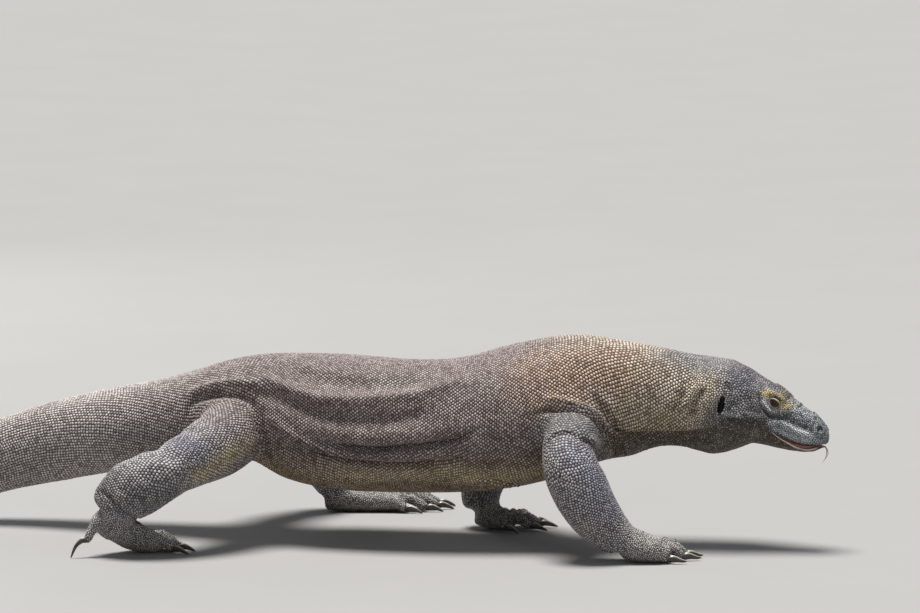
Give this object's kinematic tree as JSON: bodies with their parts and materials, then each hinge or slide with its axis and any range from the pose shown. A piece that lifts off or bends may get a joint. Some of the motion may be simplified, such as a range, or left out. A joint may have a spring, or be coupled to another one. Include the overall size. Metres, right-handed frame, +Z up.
{
  "type": "komodo dragon",
  "caption": "Life-size komodo dragon standing in mid stride, head low, rear of the tail along the floor, as a still museum model.",
  "frame": {"origin": "middle of the outline on the floor, at floor level", "axes": "+X towards the head, along the line of walk; +Y towards the animal's left; +Z up"},
  "size_m": [2.5349, 0.8124, 0.4275],
  "materials": {
    "hide": "dry scaly hide, satin",
    "hide_limb": "dry scaly hide, satin",
    "hide_head": "fine beaded hide, satin",
    "claw": "polished horn",
    "eye": "wet gloss",
    "tongue": "moist"
  },
  "bodies": {
    "root": {"belly": "hide", "chest": "hide", "claw_foot_left_1": "claw", "claw_foot_left_2": "claw", "claw_foot_left_3": "claw", "claw_foot_left_4": "claw", "claw_foot_left_5": "claw", "claw_foot_right_1": "claw", "claw_foot_right_2": "claw", "claw_foot_right_3": "claw", "claw_foot_right_4": "claw", "claw_foot_right_5": "claw", "claw_hand_left_1": "claw", "claw_hand_left_2": "claw", "claw_hand_left_3": "claw", "claw_hand_left_4": "claw", "claw_hand_left_5": "claw", "claw_hand_right_1": "claw", "claw_hand_right_2": "claw", "claw_hand_right_3": "claw", "claw_hand_right_4": "claw", "claw_hand_right_5": "claw", "eye_left": "eye", "eye_right": "eye", "foot_left": "hide_limb", "foot_right": "hide_limb", "forearm_left": "hide_limb", "forearm_right": "hide_limb", "hand_left": "hide_limb", "hand_right": "hide_limb", "head": "hide_head", "hips": "hide", "lower_jaw": "hide_head", "neck": "hide", "shank_left": "hide_limb", "shank_right": "hide_limb", "tail_base": "hide", "tail_middle": "hide", "tail_rear": "hide", "tail_tip": "hide", "thigh_left": "hide_limb", "thigh_right": "hide_limb", "tongue": "tongue", "upper_arm_left": "hide_limb", "upper_arm_right": "hide_limb"}
  },
  "joints": []
}
